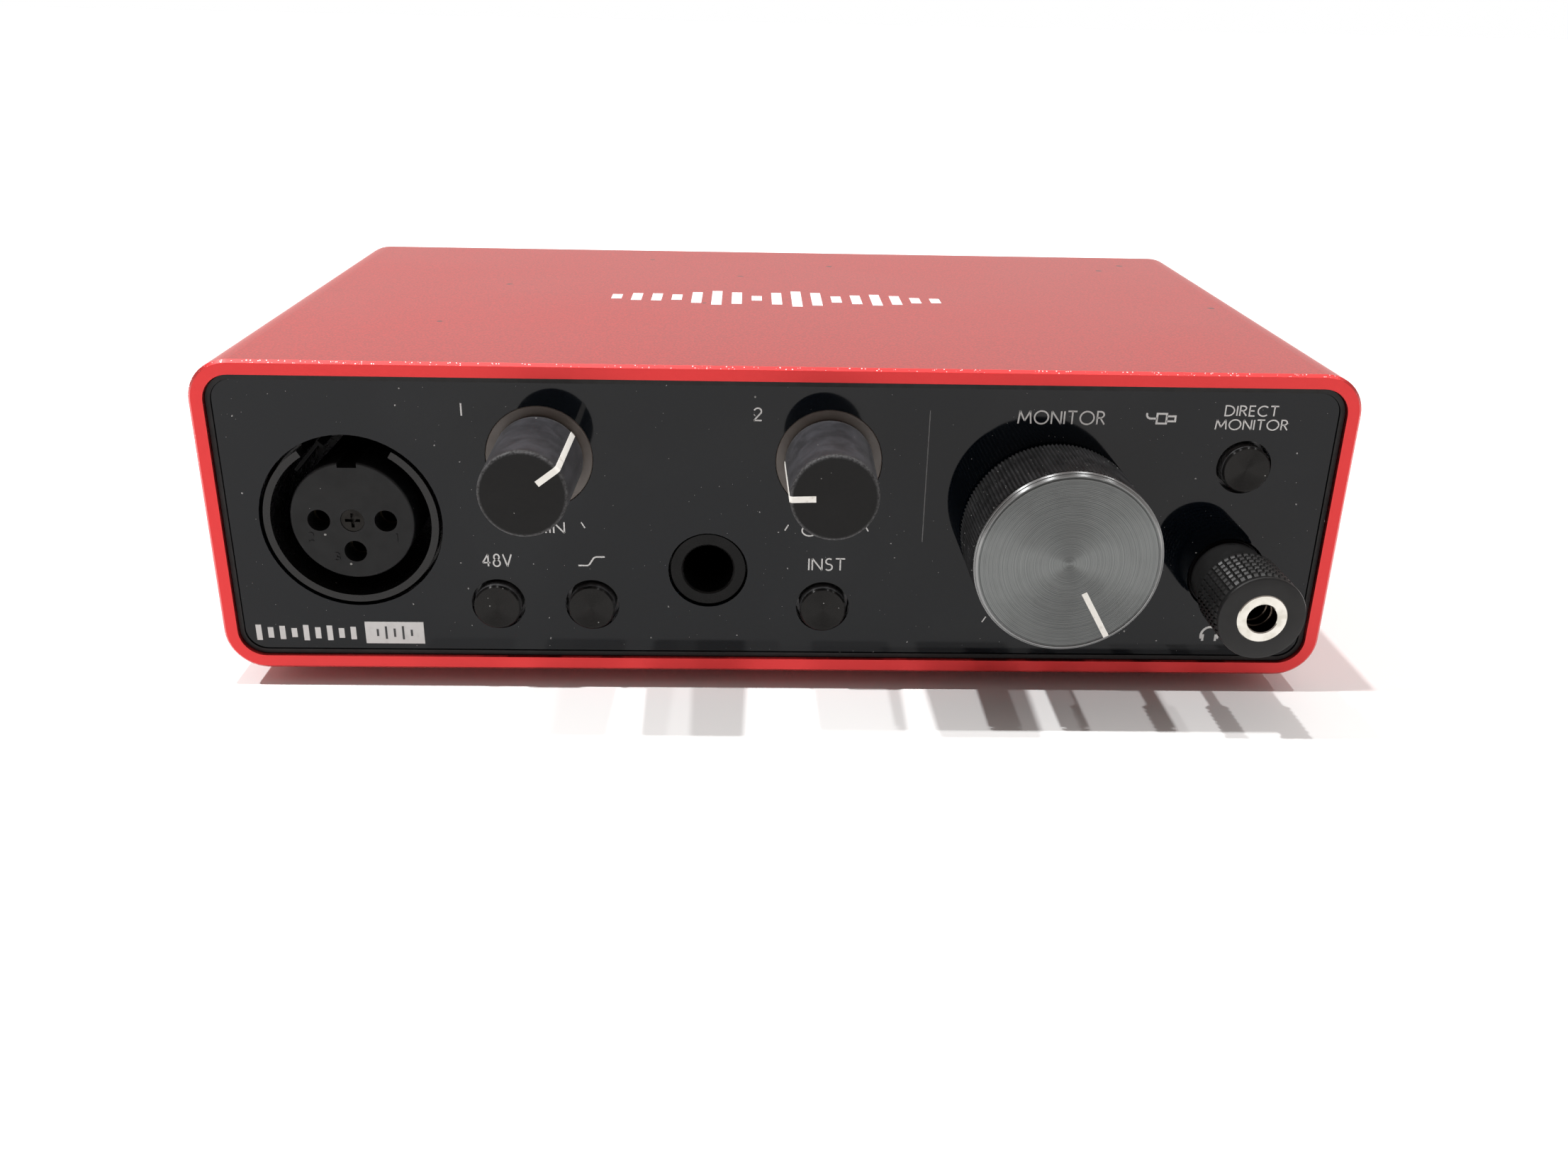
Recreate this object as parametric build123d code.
from build123d import *
import os
from math import cos, pi, radians, sin, tan

# Desktop audio interface: a two-channel recording box in an extruded aluminium sleeve.
# Frame: +X right, +Z up, the front panel faces -Y. The origin is on the table, under the
# middle of the whole object. All sizes are in millimetres.

# ------------------------------------------------------------------ driving dimensions
SLEEVE_WIDTH = 143.5
SLEEVE_HEIGHT = 41.0
SLEEVE_DEPTH = 82.0
SLEEVE_WALL = 1.8
SLEEVE_CORNER = 5.2
SLEEVE_BEVEL = 0.35
FOOT_HEIGHT = 2.5
KNOB_REACH = 13.0  # from the sleeve's front rim to the front of the gain knobs
NUT_REACH = 0.8  # from the sleeve's rear rim to the back of the output jacks' nuts
PANEL_RECESS = 0.8  # from either rim in to the panel's outer face
FASCIA_THICK = 1.0
MOULDING_THICK = 1.5
MOULDING_BAND = 0.6  # the moulding's edge that shows round the fascia
MOULDING_PROUD = 0.2
SKIRT_WALL = 1.6
REAR_PANEL_THICK = 2.0
SLIP = 0.1  # gap between a slid-in panel and the sleeve
CORNER_BLOCK = 7.0  # screw port and card guide in each corner of the extrusion
BLOCK_FRONT = -25.0
FOOT_R = 6.0
FOOT_INSET = 13.0  # from either rim in to a foot's middle
FOOT_X = 56.0

# Screws and what they go into
THREAD_R = 1.1
THREAD_HOLE_R = 1.15  # in a boss
PASS_HOLE_R = 1.3  # in a board or an ear
BOSS_R = 2.6
PORT_HOLE_R = 1.5

# Interfaces of standard size
PLUG_R = 3.175  # 6.35 mm jack plug
JACK_BORE_R = 3.25
MINI_BORE_R = 1.83  # socket for a 3.5 mm plug
XLR_INSERT_R = 7.8
XLR_LIP_R = 10.95
XLR_MOUTH_R = 10.05
XLR_PIN_HOLE_R = 1.425
XLR_PINS = {1: (4.2, 0.0), 2: (-4.2, 0.0), 3: (0.0, -4.15)}  # from the centre of the socket
XLR_NOTCH_HALF_ANGLE = 32.0  # half of the opening at the top of the mouth
XLR_KEYWAY_WIDTH = 2.4
XLR_KEYWAY_FLOOR = 7.0  # from the centre of the socket
SHAFT_R = 3.0
SHAFT_FLAT = 1.5  # from the shaft's axis to its flat
RUNNING = 0.05  # radial clearance of a turning or sliding fit

# Sockets for a 6.35 mm plug, measured along +Y from the mouth
JACK_LENGTH = 32.0
JACK_HALF = 6.5
JACK_FOOT_HALF = 4.4
NOSE_R = 4.8
FRONT_NOSE = 2.6
NOSE_RECESS = 0.4  # from the fascia in to the front sockets' mouths
JACK_CONTACTS = ((24.0, 27.0), (17.0, 20.0), (11.5, 13.5))  # tip, ring and sleeve: start, end

# Holes in the front panel
XLR_HOLE_R = 11.45
GAIN_HOLE_R = 6.7
MONITOR_HOLE_R = 4.0
JACK_HOLE_R = 5.1
BUTTON_HOLE_R = 3.47
LINE_OUT_HOLE_R = 4.95  # in the rear panel

# Front panel layout: x, and z from the middle of the panel
XLR_AT = (-54.0, -0.3)
GAIN_AT = {1: (-30.0, 8.45), 2: (6.0, 8.4)}
MONITOR_AT = (34.5, -0.2)
INSTRUMENT_JACK_AT = (-9.1, -6.45)
HEADPHONE_JACK_AT = (58.3, -6.45)
BUTTONS_AT = {
    "phantom_power": (-36.2, -11.4),
    "presence": (-24.1, -11.4),
    "instrument": (5.8, -11.4),
    "direct_monitor": (58.3, 8.3),
}
XLR_SCREWS_AT = ((-11.0, 10.6), (11.0, -10.6))  # from the centre of the XLR socket
FRONT_BOARD_SCREWS_AT = ((-12.0, 11.0), (18.5, 13.0), (18.5, -11.5), (48.0, -11.0))
BOARD_SCREWS_X = (-17.9, 27.0)

# Rear panel layout
LINE_OUT_AT = {"left": (-14.0, -3.0), "right": (-38.0, -3.0)}
USB_X = 30.0
LOCK_AT = (56.0, 0.0)
LOCK_SLOT = (7.0, 3.0)

# Knobs and buttons; a pointer's angle is clockwise from 12 o'clock, seen from the front
GAIN_POINTS = {1: 53.0, 2: -92.0}
MONITOR_POINTS = 150.0
GAIN_FRONT_R = 5.25
GAIN_BASE_R = 5.5
GAIN_LENGTH = 13.3
POINTER_PROUD = 0.06
MONITOR_R = 11.5
MONITOR_LENGTH = 11.5
KNURL_TEETH = 140
KNURL_DEPTH = 0.22
CAP_R = 11.3
CAP_THICK = 0.7
KNOB_GAP = 0.5
SPIGOT_R = 9.6
BUTTON_R = 3.0
BUTTON_PROUD = 1.2
BUTTON_FLANGE_R = 3.9

# Light guides round the gain knobs
HALO_R = 6.65
HALO_HOLE_R = 3.8
HALO_FLANGE_R = 7.8
HALO_LEG_AT = 6.6  # from the knob's axis to the middle of either leg

# Headphone adapter, a 3.5 mm socket on a 6.35 mm plug
BARREL_R = 5.4
NECK_R = 4.7
BARREL_REACH = 13.6  # from the fascia forward to the barrel's front
NECK_LENGTH = 5.0
PLUG_REACH = 30.3  # from the fascia back to the plug's tip
INSULATOR_WIDTH = 0.8
MOUTH_R = 3.1  # nickel ring in the barrel's front
TUBE_R = 2.6  # tube of the 3.5 mm socket, behind its ring
SLEEVE_BORE_R = 2.5  # the plug's sleeve, ring and tip are nested tubes
RING_TUBE_R = 2.0
RING_BORE_R = 1.5
TIP_STEM_R = 1.0

# ------------------------------------------------------------------ derived places
MID_Z = FOOT_HEIGHT + SLEEVE_HEIGHT / 2
SLEEVE_FRONT = KNOB_REACH - (SLEEVE_DEPTH + KNOB_REACH + NUT_REACH) / 2
SLEEVE_REAR = SLEEVE_FRONT + SLEEVE_DEPTH
INNER_WIDTH = SLEEVE_WIDTH - 2 * SLEEVE_WALL
INNER_HEIGHT = SLEEVE_HEIGHT - 2 * SLEEVE_WALL
INNER_CORNER = SLEEVE_CORNER - SLEEVE_WALL
FASCIA_FACE = SLEEVE_FRONT + PANEL_RECESS
FASCIA_BACK = FASCIA_FACE + FASCIA_THICK
MOULDING_BACK = FASCIA_BACK + MOULDING_THICK
REAR_FACE = SLEEVE_REAR - PANEL_RECESS
REAR_INSIDE = REAR_FACE - REAR_PANEL_THICK
NUT_BACK = SLEEVE_REAR + NUT_REACH
BOARD_THICK = 1.6
BOARD_BOTTOM = FOOT_HEIGHT + SLEEVE_WALL + 2.5
BOARD_TOP = BOARD_BOTTOM + BOARD_THICK
BOARD_FRONT = MOULDING_BACK + 0.6
BOARD_REAR = REAR_INSIDE - 0.5
BOARD_SCREW_Y = MOULDING_BACK + 3.1
FRONT_BOARD_FACE = MOULDING_BACK + 6.1
FRONT_BOARD_BACK = FRONT_BOARD_FACE + BOARD_THICK
FRONT_BOARD_X = (-40.4, 62.4)
SCREW_PORT_X = INNER_WIDTH / 2 - 3.6
SCREW_PORT_Z = INNER_HEIGHT / 2 - 3.6
GUIDE_DEPTH = 1.0
XLR_EAR_FRONT = MOULDING_BACK + 3.0
XLR_EAR_BACK = XLR_EAR_FRONT + 2.0
XLR_WALL_FRONT = MOULDING_BACK + 17.6
XLR_WALL_BACK = XLR_WALL_FRONT + 2.0
XLR_CONTACT_FRONT = FASCIA_FACE + 3.6
REAR_NOSE = NUT_BACK - REAR_INSIDE + 0.1
MONITOR_BACK = FASCIA_FACE - KNOB_GAP
MONITOR_FRONT = MONITOR_BACK - MONITOR_LENGTH
CAP_BACK = MONITOR_FRONT + CAP_THICK
SPIGOT_BACK = CAP_BACK + 0.8
FLANGE_FRONT = MOULDING_BACK + 0.15
FLANGE_BACK = FLANGE_FRONT + 0.85
POT_FRONT = MOULDING_BACK + 0.9
SWITCH_FRONT = FRONT_BOARD_FACE - 3.7
PLUNGER_END = FRONT_BOARD_FACE - 1.5
BARREL_FRONT = FASCIA_FACE - BARREL_REACH
BARREL_BACK = FASCIA_FACE - 0.1
MOUTH_BACK = BARREL_FRONT + 2.0
NECK_FRONT = FASCIA_FACE - NECK_LENGTH
MINI_END = FASCIA_FACE + 1.0
TUBE_END = MINI_END + 0.8
PLUG_CORE_START = MINI_END + 1.6
PLUG_START = BARREL_BACK - 1.0
PLUG_END = FASCIA_FACE + PLUG_REACH
RING_START = PLUG_END - 10.4
TIP_START = PLUG_END - 6.4
SLEEVE_END = RING_START - INSULATOR_WIDTH
RING_END = TIP_START - INSULATOR_WIDTH


# ------------------------------------------------------------------ building blocks
def block(x0, x1, y0, y1, z0, z1):
    """A box between two corners."""
    return Pos((x0 + x1) / 2, (y0 + y1) / 2, (z0 + z1) / 2) * Box(x1 - x0, y1 - y0, z1 - z0)


def rod(x, z, radius, y0, y1):
    """A cylinder along Y, at x and z in the part's frame."""
    return Pos(x, (y0 + y1) / 2, z) * Rot(90, 0, 0) * Cylinder(radius, y1 - y0)


def upright(x, y, radius, z0, z1):
    """A cylinder along Z."""
    return Pos(x, y, (z0 + z1) / 2) * Cylinder(radius, z1 - z0)


def turned(outline, x, z):
    """A solid of revolution about the line along Y at x and z, from (radius, y) points."""
    return Pos(x, 0, z) * revolve(make_face(Polyline(*outline, close=True)), Axis.Y)


def plate(width, height, corner, y0, y1):
    """A rounded rectangle across the enclosure, extruded along Y."""
    outline = extrude(RectangleRounded(width, height, corner), y1 - y0)
    return Pos(0, y0, MID_Z) * Rot(-90, 0, 0) * outline


def inside_sleeve(shrink, y0, y1):
    """A plate with the shape of the sleeve's inside, smaller by shrink on every side."""
    return plate(INNER_WIDTH - 2 * shrink, INNER_HEIGHT - 2 * shrink, INNER_CORNER - shrink, y0, y1)


def on_panel(at):
    """The x and z of a place given from the middle of the panel."""
    return at[0], MID_Z + at[1]


def turn_about(x, z, angle, solid):
    """The solid turned clockwise, seen from the front, about the line along Y at x and z."""
    return Pos(x, 0, z) * Rot(0, angle, 0) * Pos(-x, 0, -z) * solid


def cross_recess(x, z, y0, y1, size, width=0.45):
    """The cross in a screw's head, for a head that faces along Y."""
    half, thin = size / 2, width / 2
    return block(x - half, x + half, y0, y1, z - thin, z + thin) + block(
        x - thin, x + thin, y0, y1, z - half, z + half
    )


def group(solids):
    """Separate solids that are written as one node."""
    return Compound(children=[piece for solid in solids for piece in solid.solids()])


# ------------------------------------------------------------------ enclosure
def enclosure_sleeve():
    """Extruded aluminium sleeve with a screw port in each corner; the lower two guide the board."""
    tube = plate(SLEEVE_WIDTH, SLEEVE_HEIGHT, SLEEVE_CORNER, SLEEVE_FRONT, SLEEVE_REAR)
    tube -= plate(INNER_WIDTH, INNER_HEIGHT, INNER_CORNER, SLEEVE_FRONT, SLEEVE_REAR)
    rims = [tube.faces().sort_by(Axis.Y)[end].outer_wire().edges() for end in (0, -1)]
    tube = chamfer([edge for rim in rims for edge in rim], SLEEVE_BEVEL)
    wall_x, wall_z = INNER_WIDTH / 2, INNER_HEIGHT / 2
    for side in (-1, 1):
        xs = sorted((side * wall_x, side * (wall_x - CORNER_BLOCK)))
        for level in (-1, 1):
            zs = sorted((MID_Z + level * wall_z, MID_Z + level * (wall_z - CORNER_BLOCK)))
            tube += block(*xs, BLOCK_FRONT, REAR_INSIDE, *zs)
        groove = sorted((side * (wall_x - CORNER_BLOCK), side * (wall_x - CORNER_BLOCK + GUIDE_DEPTH)))
        tube -= block(*groove, BLOCK_FRONT, REAR_INSIDE, BOARD_BOTTOM - SLIP, BOARD_TOP + SLIP)
    for x, z in screw_ports():
        tube -= rod(x, z, PORT_HOLE_R, BLOCK_FRONT, REAR_INSIDE)
    return tube


def screw_ports():
    """Centres of the four screw ports in the corners of the extrusion."""
    return [(sx * SCREW_PORT_X, MID_Z + sz * SCREW_PORT_Z) for sx in (-1, 1) for sz in (-1, 1)]


def panel_holes(y0, y1):
    """Everything that passes through the fascia and the moulding behind it."""
    holes = [rod(*on_panel(XLR_AT), XLR_HOLE_R, y0, y1)]
    holes += [rod(*on_panel(at), GAIN_HOLE_R, y0, y1) for at in GAIN_AT.values()]
    holes += [rod(*on_panel(MONITOR_AT), MONITOR_HOLE_R, y0, y1)]
    holes += [rod(*on_panel(at), JACK_HOLE_R, y0, y1) for at in (INSTRUMENT_JACK_AT, HEADPHONE_JACK_AT)]
    holes += [rod(*on_panel(at), BUTTON_HOLE_R, y0, y1) for at in BUTTONS_AT.values()]
    return holes


def front_fascia():
    """Glossy outer panel, let into the moulding."""
    return inside_sleeve(SLIP + MOULDING_BAND + RUNNING, FASCIA_FACE, FASCIA_BACK) - panel_holes(
        FASCIA_FACE, FASCIA_BACK
    )


def front_panel_moulding():
    """Black carrier behind the fascia, with a skirt inside the sleeve and the screw bosses."""
    front = FASCIA_FACE - MOULDING_PROUD
    carrier = inside_sleeve(SLIP, front, BLOCK_FRONT - RUNNING)
    carrier -= inside_sleeve(SLIP + MOULDING_BAND, front, FASCIA_BACK)
    carrier -= inside_sleeve(SLIP + SKIRT_WALL, MOULDING_BACK, BLOCK_FRONT)
    skirt_floor = MID_Z - INNER_HEIGHT / 2 + SLIP + SKIRT_WALL
    for x in BOARD_SCREWS_X:
        carrier += block(x - 3, x + 3, MOULDING_BACK, MOULDING_BACK + 5.5, skirt_floor, BOARD_BOTTOM)
    for at in FRONT_BOARD_SCREWS_AT:
        carrier += rod(*on_panel(at), BOSS_R, MOULDING_BACK, FRONT_BOARD_FACE)
    for x, z in xlr_screws():
        carrier += rod(x, z, BOSS_R, MOULDING_BACK, XLR_EAR_FRONT)
    carrier -= panel_holes(FASCIA_BACK, MOULDING_BACK)
    for at in FRONT_BOARD_SCREWS_AT:
        carrier -= rod(*on_panel(at), THREAD_HOLE_R, MOULDING_BACK + 0.6, FRONT_BOARD_FACE)
    for x, z in xlr_screws():
        carrier -= rod(x, z, THREAD_HOLE_R, MOULDING_BACK - 0.9, XLR_EAR_FRONT)
    for x in BOARD_SCREWS_X:
        carrier -= upright(x, BOARD_SCREW_Y, THREAD_HOLE_R, BOARD_BOTTOM - 2.0, BOARD_BOTTOM)
    return carrier


def rear_panel():
    """Black rear panel with the openings for the outputs, the USB-C port and a security lock."""
    panel = inside_sleeve(SLIP, REAR_INSIDE, REAR_FACE)
    for x, z in screw_ports():
        panel -= turned([(0, REAR_INSIDE), (1.6, REAR_INSIDE), (1.6, REAR_FACE - 1.4),
                         (2.75, REAR_FACE - 0.2), (2.75, REAR_FACE), (0, REAR_FACE)], x, z)
    for at in LINE_OUT_AT.values():
        panel -= rod(*on_panel(at), LINE_OUT_HOLE_R, REAR_INSIDE, REAR_FACE)
    panel -= rounded_slot(USB_X, usb_z(), 9.5, 3.8, REAR_INSIDE, REAR_FACE)
    panel -= rounded_slot(LOCK_AT[0], MID_Z + LOCK_AT[1], *LOCK_SLOT, REAR_INSIDE, REAR_FACE)
    return panel


def rounded_slot(x, z, width, height, y0, y1):
    """A slot with rounded ends, as a solid along Y."""
    outline = extrude(RectangleRounded(width, height, height * 0.46), y1 - y0)
    return Pos(x, y0, z) * Rot(-90, 0, 0) * outline


def rear_panel_screws():
    """Four countersunk screws into the ports of the sleeve."""
    screws = []
    for x, z in screw_ports():
        screw = turned([(0, REAR_INSIDE - 9), (1.45, REAR_INSIDE - 9), (1.45, REAR_FACE - 1.4),
                        (2.6, REAR_FACE - 0.25), (2.6, REAR_FACE - 0.05), (0, REAR_FACE - 0.05)], x, z)
        screws.append(screw - cross_recess(x, z, REAR_FACE - 1.0, REAR_FACE, 2.6, 0.6))
    return group(screws)


def rubber_feet():
    """Four round feet under the sleeve."""
    feet = []
    for x in (-FOOT_X, FOOT_X):
        for y in (SLEEVE_FRONT + FOOT_INSET, SLEEVE_REAR - FOOT_INSET):
            foot = upright(x, y, FOOT_R, 0, FOOT_HEIGHT)
            feet.append(fillet(foot.edges().group_by(Axis.Z)[0], 0.5))
    return group(feet)


# ------------------------------------------------------------------ circuit boards
def main_circuit_board():
    """Horizontal board that slides in the guides and carries the sockets."""
    half = INNER_WIDTH / 2 - CORNER_BLOCK + GUIDE_DEPTH - SLIP
    board = block(-half, half, BOARD_FRONT, BOARD_REAR, BOARD_BOTTOM, BOARD_TOP)
    for x in BOARD_SCREWS_X:
        board -= upright(x, BOARD_SCREW_Y, PASS_HOLE_R, BOARD_BOTTOM, BOARD_TOP)
    for x, level in BUTTONS_AT.values():
        if level < 0:
            board -= block(x - 4.15, x + 4.15, BOARD_FRONT, BOARD_FRONT + 2.1, BOARD_BOTTOM, BOARD_TOP)
    return board


def main_board_screws():
    """Two short screws that hold the main board to the moulding."""
    screws = []
    for x in BOARD_SCREWS_X:
        y = BOARD_SCREW_Y
        head_top = BOARD_TOP + 1.2
        screw = upright(x, y, THREAD_R, BOARD_BOTTOM - 1.9, BOARD_TOP)
        screw += upright(x, y, 2.1, BOARD_TOP, head_top)
        screws.append(screw - block(x - 1.2, x + 1.2, y - 0.25, y + 0.25, head_top - 0.6, head_top))
    return group(screws)


def main_board_components():
    """The chips, capacitors and inductor on top of the main board."""
    top = BOARD_TOP
    parts = [
        block(26, 36, 22, 32, top, top + 1.0),  # USB controller
        block(6, 14, -2, 6, top, top + 1.0),  # converter
        block(40, 44, 10, 13, top, top + 1.2),  # crystal
        block(-30, -20, -6, 4, top, top + 4.5),  # phantom supply inductor
        block(-10, -4, 4, 9, top, top + 1.4),  # preamplifier, channel 1
        block(18, 24, -8, -3, top, top + 1.4),  # preamplifier, channel 2
    ]
    parts += [upright(x, y, 3.15, top, top + 7.7) for x, y in ((-52, 10), (-52, 20), (50, 24), (50, 34))]
    parts += [upright(x, 6, 2.5, top, top + 5.4) for x in (-42, -36)]
    return group(parts)


def front_circuit_board():
    """Upright board behind the moulding for the controls, cut away round the two jacks."""
    board = block(*FRONT_BOARD_X, FRONT_BOARD_FACE, FRONT_BOARD_BACK, BOARD_TOP + SLIP, MID_Z + 16.8)
    for at in (INSTRUMENT_JACK_AT, HEADPHONE_JACK_AT):
        x, z = on_panel(at)
        board -= block(x - 7.1, x + 7.1, FRONT_BOARD_FACE, FRONT_BOARD_BACK, 0, z + 6.5)
    for at in FRONT_BOARD_SCREWS_AT:
        board -= rod(*on_panel(at), PASS_HOLE_R, FRONT_BOARD_FACE, FRONT_BOARD_BACK)
    return board


def front_board_screws():
    """Four screws that hold the front board to the moulding's bosses."""
    screws = []
    for at in FRONT_BOARD_SCREWS_AT:
        x, z = on_panel(at)
        head_end = FRONT_BOARD_BACK + 1.4
        screw = rod(x, z, THREAD_R, MOULDING_BACK + 1.2, FRONT_BOARD_BACK)
        screw += rod(x, z, 2.2, FRONT_BOARD_BACK, head_end)
        screws.append(screw - cross_recess(x, z, head_end - 0.7, head_end, 2.2))
    return group(screws)


def board_link_header():
    """Right-angle pin header that joins the two boards."""
    back = FRONT_BOARD_BACK
    header = block(22, 44.5, back, back + 3.0, BOARD_TOP, BOARD_TOP + 2.5)
    for pin in range(8):
        x = 24.4 + 2.54 * pin
        header += block(x - 0.3, x + 0.3, back, back + 0.6, BOARD_TOP + 2.5, BOARD_TOP + 5.0)
    return header


def halo_leds():
    """Small lamps on the front board, one behind each leg of the halo rings."""
    lamps = []
    for at in GAIN_AT.values():
        x, z = on_panel(at)
        for side in (-1, 1):
            left = x + side * HALO_LEG_AT - 0.8
            front = FRONT_BOARD_FACE - 0.7
            lamps.append(block(left, left + 1.6, front, FRONT_BOARD_FACE, z - 0.6, z + 0.6))
    return group(lamps)


# ------------------------------------------------------------------ microphone socket
def xlr_screws():
    """Centres of the two screws that hold the microphone socket."""
    x, z = on_panel(XLR_AT)
    return [(x + dx, z + dz) for dx, dz in XLR_SCREWS_AT]


def xlr_shell():
    """Socket housing: a round mouth with an open top, screw ears, and feet on the board."""
    x, z = on_panel(XLR_AT)
    shell = rod(x, z, XLR_LIP_R, FASCIA_FACE, MOULDING_BACK) + rod(x, z, 11.2, MOULDING_BACK, XLR_WALL_BACK)
    for dx, dz in XLR_SCREWS_AT:
        arm = extrude(SlotCenterToCenter(13.0, 5.6), XLR_EAR_BACK - XLR_EAR_FRONT)
        angle = 136.0 if dx < 0 else -44.0
        centre = (x + dx * 0.575, z + dz * 0.575)
        shell += Pos(centre[0], XLR_EAR_FRONT, centre[1]) * Rot(0, -angle, 0) * Rot(-90, 0, 0) * arm
    shell += block(x - 7, x + 7, -24, XLR_WALL_BACK, BOARD_TOP, z - 8)
    shell -= rod(x, z, XLR_MOUTH_R, FASCIA_FACE, XLR_WALL_FRONT)
    reach = 15.0
    half = reach * tan(radians(XLR_NOTCH_HALF_ANGLE))
    notch = extrude(make_face(Polyline((0, 0), (-half, -reach), (half, -reach), close=True)), 6.0)
    shell -= Pos(x, FASCIA_FACE, z) * Rot(-90, 0, 0) * notch
    for cx, cz in XLR_PINS.values():
        shell -= rod(x + cx, z + cz, 0.6, XLR_WALL_FRONT, XLR_WALL_BACK)
    for sx, sz in xlr_screws():
        shell -= rod(sx, sz, PASS_HOLE_R, XLR_EAR_FRONT, XLR_EAR_BACK)
    return shell


def xlr_insert():
    """Core with three contact holes, a keyway at the top and a hole for its screw."""
    x, z = on_panel(XLR_AT)
    face = FASCIA_FACE + 0.5
    core = fillet(rod(x, z, XLR_INSERT_R, face, XLR_WALL_FRONT).edges().group_by(Axis.Y)[0], 0.3)
    half = XLR_KEYWAY_WIDTH / 2
    core -= block(x - half, x + half, face, XLR_WALL_FRONT, z + XLR_KEYWAY_FLOOR, z + XLR_INSERT_R + 1)
    for cx, cz in XLR_PINS.values():
        core -= rod(x + cx, z + cz, XLR_PIN_HOLE_R, face, XLR_WALL_FRONT)
    core -= rod(x, z, 1.5, face, face + 1.5) + rod(x, z, 1.0, face + 1.5, face + 11)
    return core


def xlr_contacts():
    """Three socket contacts, each with a tail down to the board."""
    x, z = on_panel(XLR_AT)
    contacts = []
    for number, (cx, cz) in XLR_PINS.items():
        tail_y = XLR_WALL_BACK + 1.5 + 1.2 * number
        contact = rod(x + cx, z + cz, XLR_PIN_HOLE_R, XLR_CONTACT_FRONT, XLR_WALL_FRONT - 2)
        contact -= rod(x + cx, z + cz, 1.22, XLR_CONTACT_FRONT, XLR_WALL_FRONT - 3)
        contact += rod(x + cx, z + cz, 0.5, XLR_WALL_FRONT - 2, tail_y)
        contact += block(x + cx - 0.4, x + cx + 0.4, tail_y - 0.8, tail_y, BOARD_TOP, z + cz)
        contacts.append(contact)
    return group(contacts)


def xlr_retention_spring():
    """Thin blade in the open top of the mouth that holds a plug in."""
    x, z = on_panel(XLR_AT)
    front, back = FASCIA_FACE + 1.0, FASCIA_FACE + 5.0
    blade = block(-0.22, 0.22, front, back, -2.5, 2.5) + block(-0.22, 0.7, front, back, 2.05, 2.5)
    return Pos(x - 4.85, 0, z + 8.3) * Rot(0, 41, 0) * blade


def xlr_insert_screw():
    """Cross-head screw in the middle of the core."""
    x, z = on_panel(XLR_AT)
    face = FASCIA_FACE + 0.6
    screw = rod(x, z, 1.45, face, face + 1.2) + rod(x, z, 0.95, face + 1.2, face + 10)
    return screw - cross_recess(x, z, face, face + 0.6, 1.9, 0.4)


def xlr_mounting_screws():
    """Two screws through the socket's ears into the moulding."""
    screws = []
    for x, z in xlr_screws():
        head_end = XLR_EAR_BACK + 1.4
        screw = rod(x, z, THREAD_R, MOULDING_BACK - 0.8, XLR_EAR_BACK)
        screw += rod(x, z, 2.1, XLR_EAR_BACK, head_end)
        screws.append(screw - cross_recess(x, z, head_end - 0.7, head_end, 2.2))
    return group(screws)


# ------------------------------------------------------------------ 6.35 mm jack sockets
def jack_body(axis_z, nose):
    """Socket housing along +Y from its mouth at y = 0; axis_z sets how far down the board is."""
    drop = BOARD_TOP - axis_z
    body = block(-JACK_HALF, JACK_HALF, nose, JACK_LENGTH, -5.0, 6.0) + rod(0, 0, NOSE_R, 0, nose)
    body += block(-JACK_FOOT_HALF, JACK_FOOT_HALF, nose, JACK_LENGTH, drop, -5.0)
    body -= turned([(0, 0), (JACK_BORE_R + 0.2, 0), (JACK_BORE_R, 0.2),
                    (JACK_BORE_R, JACK_LENGTH - 0.6), (0, JACK_LENGTH - 0.6)], 0, 0)
    for start, end in JACK_CONTACTS:
        body -= block(-0.9, 0.9, start, end, drop, 0)
    return body


def jack_contacts(axis_z):
    """Tip, ring and sleeve contact blades of one socket, from under its bore down to the board."""
    drop = BOARD_TOP - axis_z
    top = -JACK_BORE_R - 0.1
    return group([block(-0.3, 0.3, start + 0.2, end - 0.2, drop, top) for start, end in JACK_CONTACTS])


def front_jack(solid, at):
    """A socket's piece moved to its place in the front panel."""
    x, z = on_panel(at)
    return Pos(x, FASCIA_FACE + NOSE_RECESS, z) * solid


def rear_jack(solid, at):
    """A socket's piece turned to face backwards, in its place in the rear panel."""
    x, z = on_panel(at)
    return Pos(x, NUT_BACK, z) * Rot(0, 0, 180) * solid


def line_out_nuts():
    """Hexagonal nuts of the two output sockets."""
    nuts = []
    for at in LINE_OUT_AT.values():
        x, z = on_panel(at)
        hexagon = extrude(RegularPolygon(6.9, 6), NUT_BACK - REAR_FACE)
        nut = Pos(x, REAR_FACE, z) * Rot(-90, 0, 0) * chamfer(hexagon.edges().group_by(Axis.Z)[-1], 0.3)
        nuts.append(nut - rod(x, z, NOSE_R + RUNNING, REAR_FACE, NUT_BACK))
    return group(nuts)


# ------------------------------------------------------------------ USB-C port
def usb_z():
    """Height of the middle of the USB-C port."""
    return BOARD_TOP + 1.63


def usb_c_receptacle():
    """Steel shell of the port, standing on the board."""
    shell = rounded_slot(USB_X, usb_z(), 8.94, 3.26, REAR_FACE - 7.8, REAR_FACE)
    shell -= rounded_slot(USB_X, usb_z(), 8.34, 2.66, REAR_FACE - 7.0, REAR_FACE)
    return shell


def usb_c_tongue():
    """Contact tongue in the middle of the port."""
    half, thin = 3.35, 0.35
    return block(USB_X - half, USB_X + half, REAR_FACE - 7.0, REAR_FACE - 0.8, usb_z() - thin, usb_z() + thin)


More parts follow.
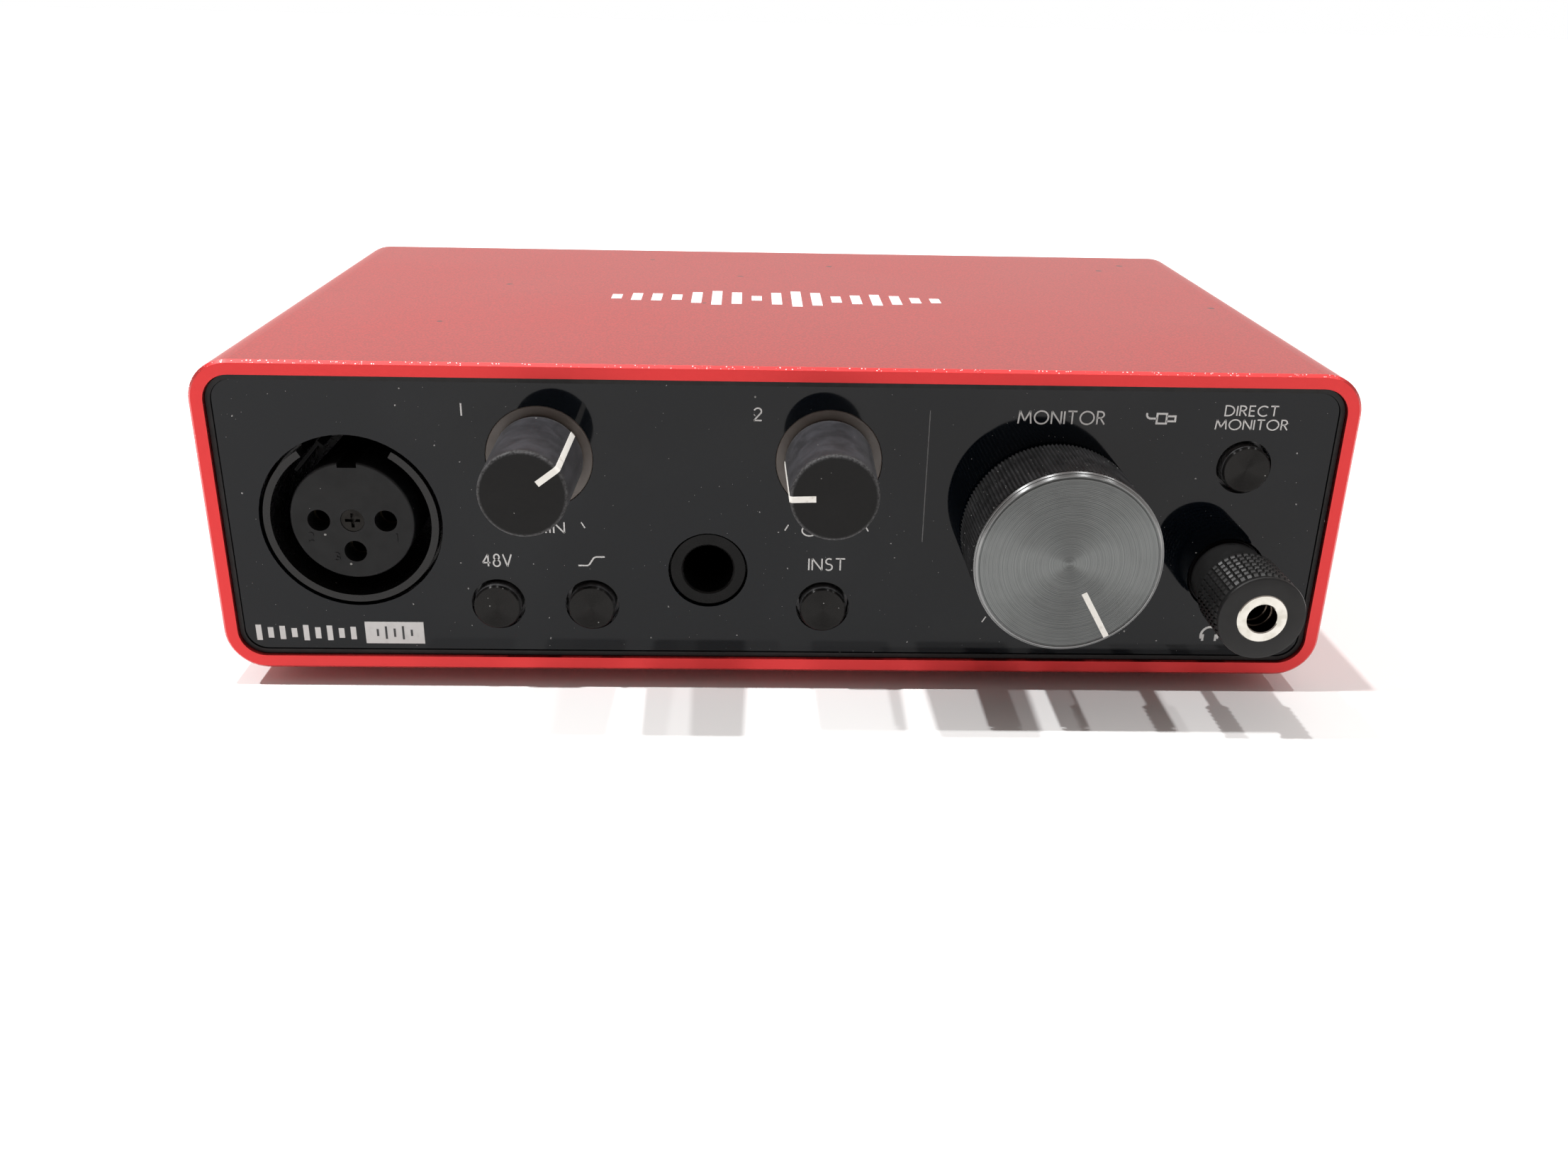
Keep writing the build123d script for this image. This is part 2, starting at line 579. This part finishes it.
# ------------------------------------------------------------------ controls that turn
def potentiometer(at, width, height):
    """Control body on the front board, with a bush for its shaft."""
    x, z = on_panel(at)
    front = POT_FRONT
    body = block(x - width / 2, x + width / 2, front, FRONT_BOARD_FACE, z - height / 2, z + height / 2)
    body += rod(x, z, 3.5, front - 2.0, front)
    for step in (-2.5, 0, 2.5):
        body += block(x + step - 0.4, x + step + 0.4, FRONT_BOARD_FACE - 0.6, FRONT_BOARD_FACE,
                      z - height / 2 - 2.5, z - height / 2)
    return body - rod(x, z, SHAFT_R + RUNNING, front - 2.0, front + 4.0)


def control_shaft(at, tip_y):
    """Shaft with a flat, from inside the control body to inside the knob."""
    x, z = on_panel(at)
    shaft = rod(x, z, SHAFT_R, tip_y, MOULDING_BACK + 4.7)
    return shaft - block(x - 4, x + 4, tip_y, FASCIA_FACE - 0.4, z + SHAFT_FLAT, z + 4)


def shaft_bore(x, z, y0, y1):
    """The bore of a knob, with the flat that drives it."""
    bore = rod(x, z, SHAFT_R + RUNNING, y0, y1)
    return bore - block(x - 4, x + 4, y0, y1, z + SHAFT_FLAT + RUNNING, z + 4)


def halo_ring(at):
    """Light guide round a gain knob, flush with the fascia, with two legs to its lamps."""
    x, z = on_panel(at)
    flange_back = MOULDING_BACK + 0.8
    ring = turned([(HALO_HOLE_R, FASCIA_FACE), (HALO_R - 0.1, FASCIA_FACE), (HALO_R, FASCIA_FACE + 0.1),
                   (HALO_R, MOULDING_BACK + 0.1), (HALO_FLANGE_R, MOULDING_BACK + 0.1),
                   (HALO_FLANGE_R, flange_back), (HALO_HOLE_R, flange_back)], x, z)
    for side in (-1, 1):
        centre = x + side * HALO_LEG_AT
        ring += block(centre - 0.9, centre + 0.9, flange_back, FRONT_BOARD_FACE - 0.8, z - 0.7, z + 0.7)
    return ring


def gain_knob_form(x, z, inset):
    """Outer form of a gain knob, shrunk by inset on its side and front."""
    back = FASCIA_FACE - KNOB_GAP
    front = back - GAIN_LENGTH + inset
    edge = 0.45
    cone = turned([(0, front), (GAIN_FRONT_R - inset, front), (GAIN_BASE_R - inset, back), (0, back)], x, z)
    return fillet(cone.edges().filter_by(GeomType.CIRCLE).sort_by(Axis.Y)[0], edge)


def gain_knob_pieces(number):
    """Knob and its white pointer, turned to where the control is set."""
    x, z = on_panel(GAIN_AT[number])
    back = FASCIA_FACE - KNOB_GAP
    front = back - GAIN_LENGTH
    form = gain_knob_form(x, z, 0)
    stripe = block(x - 0.375, x + 0.375, front - 1, back, z + 2.2, z + GAIN_BASE_R + 1)
    core = gain_knob_form(x, z, 0.7)
    pointer = (gain_knob_form(x, z, -POINTER_PROUD) & stripe) - core
    knob = form - stripe + (core & stripe)
    knob -= rod(x, z, 4.3, back - 2.4, back)
    knob -= shaft_bore(x, z, front + 2.4, back)
    return [turn_about(x, z, GAIN_POINTS[number], piece) for piece in (knob, pointer)]


def gain_shaft(number):
    """Shaft under a gain knob, turned with it."""
    x, z = on_panel(GAIN_AT[number])
    tip = FASCIA_FACE - KNOB_GAP - GAIN_LENGTH + 2.6
    return turn_about(x, z, GAIN_POINTS[number], control_shaft(GAIN_AT[number], tip))


def knurled_outline():
    """Outline of the monitor knob, with a fine straight knurl."""
    points = []
    for step in range(2 * KNURL_TEETH):
        radius = MONITOR_R - (KNURL_DEPTH if step % 2 else 0)
        angle = pi * step / KNURL_TEETH
        points.append((radius * cos(angle), radius * sin(angle)))
    return make_face(Polyline(*points, close=True))


def monitor_knob():
    """Knurled black body, hollow from behind, with a hub on the shaft."""
    x, z = on_panel(MONITOR_AT)
    knurl_front = CAP_BACK + 0.3
    body = Pos(x, knurl_front, z) * Rot(-90, 0, 0) * extrude(knurled_outline(), MONITOR_BACK - knurl_front)
    body += rod(x, z, MONITOR_R - 0.55, CAP_BACK, knurl_front)
    body -= rod(x, z, SPIGOT_R + RUNNING, CAP_BACK, SPIGOT_BACK)
    hollow = SPIGOT_BACK + 1.6
    body -= rod(x, z, 9.8, hollow, MONITOR_BACK) - rod(x, z, 5.4, hollow, MONITOR_BACK)
    body -= shaft_bore(x, z, SPIGOT_BACK + 1.8, MONITOR_BACK)
    return turn_about(x, z, MONITOR_POINTS, body)


def monitor_cap_pieces():
    """Turned aluminium cap and the pale pointer let into its face."""
    x, z = on_panel(MONITOR_AT)
    bevel = 0.25
    cap = turned([(0, MONITOR_FRONT), (CAP_R - bevel, MONITOR_FRONT), (CAP_R, MONITOR_FRONT + bevel),
                  (CAP_R, CAP_BACK), (SPIGOT_R, CAP_BACK), (SPIGOT_R, SPIGOT_BACK), (0, SPIGOT_BACK)], x, z)
    pointer = block(x - 0.35, x + 0.35, MONITOR_FRONT, MONITOR_FRONT + 0.35, z + 4.4, z + 11.0)
    return [turn_about(x, z, MONITOR_POINTS, piece) for piece in (cap - pointer, pointer)]


def monitor_shaft():
    """Shaft under the monitor knob, turned with it."""
    x, z = on_panel(MONITOR_AT)
    return turn_about(x, z, MONITOR_POINTS, control_shaft(MONITOR_AT, SPIGOT_BACK + 2.0))


# ------------------------------------------------------------------ push buttons
def button_cap(at):
    """Round cap with a dished face and a flange that stops it behind the moulding."""
    x, z = on_panel(at)
    front = FASCIA_FACE - BUTTON_PROUD
    rim = 0.2
    dish = ThreePointArc((0, front + 0.16), (1.4, front + 0.12), (BUTTON_R - rim - 0.15, front))
    rest = Polyline((BUTTON_R - rim - 0.15, front), (BUTTON_R - rim, front), (BUTTON_R, front + rim),
                    (BUTTON_R, FLANGE_FRONT), (BUTTON_FLANGE_R, FLANGE_FRONT),
                    (BUTTON_FLANGE_R, FLANGE_BACK), (0, FLANGE_BACK),
                    (0, front + 0.16))
    return Pos(x, 0, z) * revolve(make_face([dish, rest]), Axis.Y)


def switch_plunger(at):
    """Square stem between the cap and the switch."""
    x, z = on_panel(at)
    return block(x - 1.2, x + 1.2, FLANGE_BACK, PLUNGER_END, z - 1.2, z + 1.2)


def push_switch(at):
    """Switch body on the front board, with a square well for its plunger."""
    x, z = on_panel(at)
    body = block(x - 3, x + 3, SWITCH_FRONT, FRONT_BOARD_FACE, z - 3, z + 3)
    return body - block(x - 1.25, x + 1.25, SWITCH_FRONT, FRONT_BOARD_FACE - 0.5, z - 1.25, z + 1.25)


# ------------------------------------------------------------------ headphone adapter
def adapter_barrel():
    """Grip of the adapter, with a thinner neck next to the panel."""
    x, z = on_panel(HEADPHONE_JACK_AT)
    edge = 0.35
    return turned([(TUBE_R, MOUTH_BACK), (MOUTH_R, MOUTH_BACK), (MOUTH_R, BARREL_FRONT),
                   (BARREL_R - edge, BARREL_FRONT), (BARREL_R, BARREL_FRONT + edge),
                   (BARREL_R, NECK_FRONT - 0.5), (BARREL_R - 0.5, NECK_FRONT), (NECK_R, NECK_FRONT),
                   (NECK_R, BARREL_BACK - 0.2), (NECK_R - 0.2, BARREL_BACK), (PLUG_R, BARREL_BACK),
                   (PLUG_R, PLUG_START), (TUBE_R, PLUG_START)], x, z)


def adapter_socket_ring():
    """Nickel socket for a 3.5 mm plug, with its ring in the front of the barrel."""
    x, z = on_panel(HEADPHONE_JACK_AT)
    front = BARREL_FRONT - 0.1
    return turned([(MINI_BORE_R + 0.1, front), (MOUTH_R - 0.1, front), (MOUTH_R, front + 0.1),
                   (MOUTH_R, MOUTH_BACK), (TUBE_R, MOUTH_BACK), (TUBE_R, TUBE_END), (0, TUBE_END),
                   (0, MINI_END), (MINI_BORE_R, MINI_END), (MINI_BORE_R, front + 0.1)], x, z)


def adapter_plug():
    """Sleeve, ring and tip of the 6.35 mm plug, nested with insulation between them."""
    x, z = on_panel(HEADPHONE_JACK_AT)
    start = PLUG_CORE_START
    sleeve = turned([(TUBE_R, PLUG_START), (PLUG_R, PLUG_START), (PLUG_R, SLEEVE_END),
                     (SLEEVE_BORE_R, SLEEVE_END), (SLEEVE_BORE_R, TUBE_END), (TUBE_R, TUBE_END)], x, z)
    ring = turned([(RING_BORE_R, start), (RING_TUBE_R, start), (RING_TUBE_R, RING_START),
                   (PLUG_R, RING_START), (PLUG_R, RING_END), (RING_BORE_R, RING_END)], x, z)
    tip = turned([(0, start), (TIP_STEM_R, start), (TIP_STEM_R, TIP_START), (PLUG_R, TIP_START),
                  (PLUG_R, TIP_START + 0.6), (2.2, TIP_START + 2.4), (PLUG_R - 0.1, TIP_START + 3.8),
                  (0.8, PLUG_END), (0, PLUG_END)], x, z)
    return group([sleeve, ring, tip])


def adapter_plug_insulators():
    """Black insulating tubes between the sleeve, the ring and the tip."""
    x, z = on_panel(HEADPHONE_JACK_AT)
    start = PLUG_CORE_START
    outer = turned([(RING_TUBE_R, start), (SLEEVE_BORE_R, start), (SLEEVE_BORE_R, SLEEVE_END),
                    (PLUG_R, SLEEVE_END), (PLUG_R, RING_START), (RING_TUBE_R, RING_START)], x, z)
    inner = turned([(TIP_STEM_R, start), (RING_BORE_R, start), (RING_BORE_R, RING_END),
                    (PLUG_R, RING_END), (PLUG_R, TIP_START), (TIP_STEM_R, TIP_START)], x, z)
    return group([outer, inner])


# ------------------------------------------------------------------ the whole object
def all_nodes():
    """Every node's name and shape."""
    nodes = {
        "enclosure_sleeve": enclosure_sleeve(),
        "front_panel_moulding": front_panel_moulding(),
        "front_fascia": front_fascia(),
        "rear_panel": rear_panel(),
        "rear_panel_screws": rear_panel_screws(),
        "rubber_feet": rubber_feet(),
        "main_circuit_board": main_circuit_board(),
        "main_board_screws": main_board_screws(),
        "main_board_components": main_board_components(),
        "front_circuit_board": front_circuit_board(),
        "front_board_screws": front_board_screws(),
        "board_link_header": board_link_header(),
        "halo_leds": halo_leds(),
        "xlr_shell": xlr_shell(),
        "xlr_insert": xlr_insert(),
        "xlr_contacts": xlr_contacts(),
        "xlr_retention_spring": xlr_retention_spring(),
        "xlr_insert_screw": xlr_insert_screw(),
        "xlr_mounting_screws": xlr_mounting_screws(),
        "line_out_nuts": line_out_nuts(),
        "usb_c_receptacle": usb_c_receptacle(),
        "usb_c_tongue": usb_c_tongue(),
        "monitor_pot": potentiometer(MONITOR_AT, 11.0, 12.0),
        "monitor_shaft": monitor_shaft(),
        "monitor_knob": monitor_knob(),
        "adapter_barrel": adapter_barrel(),
        "adapter_socket_ring": adapter_socket_ring(),
        "adapter_plug": adapter_plug(),
        "adapter_plug_insulators": adapter_plug_insulators(),
    }
    nodes["monitor_knob_cap"], nodes["monitor_pointer"] = monitor_cap_pieces()
    for name, at in (("instrument_jack", INSTRUMENT_JACK_AT), ("headphone_jack", HEADPHONE_JACK_AT)):
        axis_z = MID_Z + at[1]
        nodes[name] = front_jack(jack_body(axis_z, FRONT_NOSE), at)
        nodes[name + "_contacts"] = front_jack(jack_contacts(axis_z), at)
    output_contacts = []
    for side, at in LINE_OUT_AT.items():
        axis_z = MID_Z + at[1]
        nodes["line_out_jack_" + side] = rear_jack(jack_body(axis_z, REAR_NOSE), at)
        output_contacts.append(rear_jack(jack_contacts(axis_z), at))
    nodes["line_out_contacts"] = group(output_contacts)
    for number, at in GAIN_AT.items():
        nodes[f"gain_pot_{number}"] = potentiometer(at, 9.6, 11.0)
        nodes[f"halo_ring_{number}"] = halo_ring(at)
        nodes[f"gain_shaft_{number}"] = gain_shaft(number)
        nodes[f"gain_knob_{number}"], nodes[f"gain_pointer_{number}"] = gain_knob_pieces(number)
    for name, at in BUTTONS_AT.items():
        nodes[f"{name}_button"] = button_cap(at)
        nodes[f"{name}_plunger"] = switch_plunger(at)
        nodes[f"{name}_switch"] = push_switch(at)
    return nodes


os.makedirs("parts", exist_ok=True)
for node_name, shape in all_nodes().items():
    export_step(shape, f"parts/{node_name}.step")
